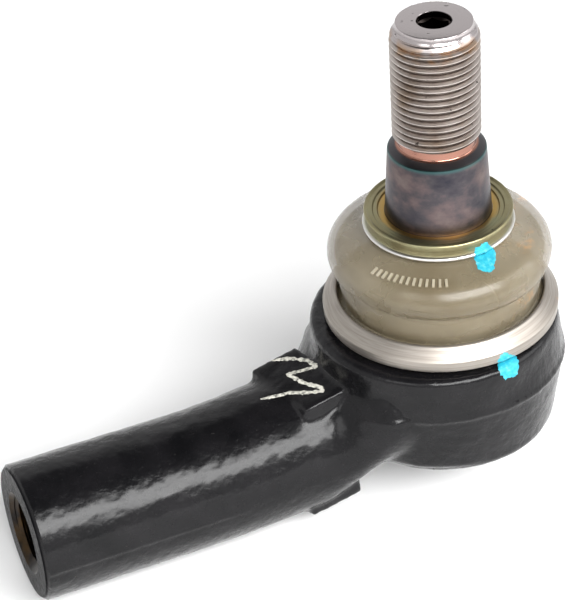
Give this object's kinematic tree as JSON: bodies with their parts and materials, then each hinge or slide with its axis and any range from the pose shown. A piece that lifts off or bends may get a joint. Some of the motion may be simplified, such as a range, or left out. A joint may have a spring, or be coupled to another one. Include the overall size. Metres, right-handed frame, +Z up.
{
  "type": "tie rod end",
  "caption": "Outer tie rod end: forged ball-joint housing with female rod socket, tapered threaded ball stud, ball seats, preload spring and dust boot.",
  "frame": {"origin": "centre of the closing plate's outer face, on the stud's axis", "axes": "+Z up along the stud, -X along the rod socket towards the tie rod, Y across the neck"},
  "size_m": [0.122, 0.052, 0.1081],
  "materials": {
    "black_paint": "thick gloss black paint over a rough forging",
    "plate_paint": "gloss black paint on a pressed plate",
    "stud_steel": "rolled and turned steel, lightly oiled, blued on the taper",
    "acetal": "natural moulded acetal",
    "spring_steel": "dark oiled spring steel",
    "seal_rubber": "black nitrile rubber",
    "boot_urethane": "translucent amber polyurethane",
    "ring_steel": "bright drawn steel",
    "zinc_yellow": "turned steel with yellow zinc passivation"
  },
  "bodies": {
    "housing": {"forged_body": "black_paint", "closing_plate": "plate_paint", "plate_seal": "seal_rubber", "preload_spring": "spring_steel", "boot_clamp_ring": "ring_steel"},
    "bearing": {"pressure_seat": "acetal", "ball_seat": "acetal", "dust_boot": "boot_urethane"},
    "boot_neck": {"boot_collar": "zinc_yellow", "boot_neck_insert": "spring_steel"},
    "stud": {"ball_stud": "stud_steel"}
  },
  "joints": [
    {"name": "bearing_turn", "type": "hinge", "parent": "housing", "child": "bearing", "pos_m": [0, 0, 0.0185], "axis": [0, 0, 1], "continuous": true},
    {"name": "stud_swing", "type": "hinge", "parent": "bearing", "child": "boot_neck", "pos_m": [0, 0, 0.0185], "axis": [0, 1, 0], "range_deg": [-25, 25], "deforming": ["dust_boot"]},
    {"name": "stud_spin", "type": "hinge", "parent": "boot_neck", "child": "stud", "pos_m": [0, 0, 0.0185], "axis": [0, 0, 1], "continuous": true}
  ]
}
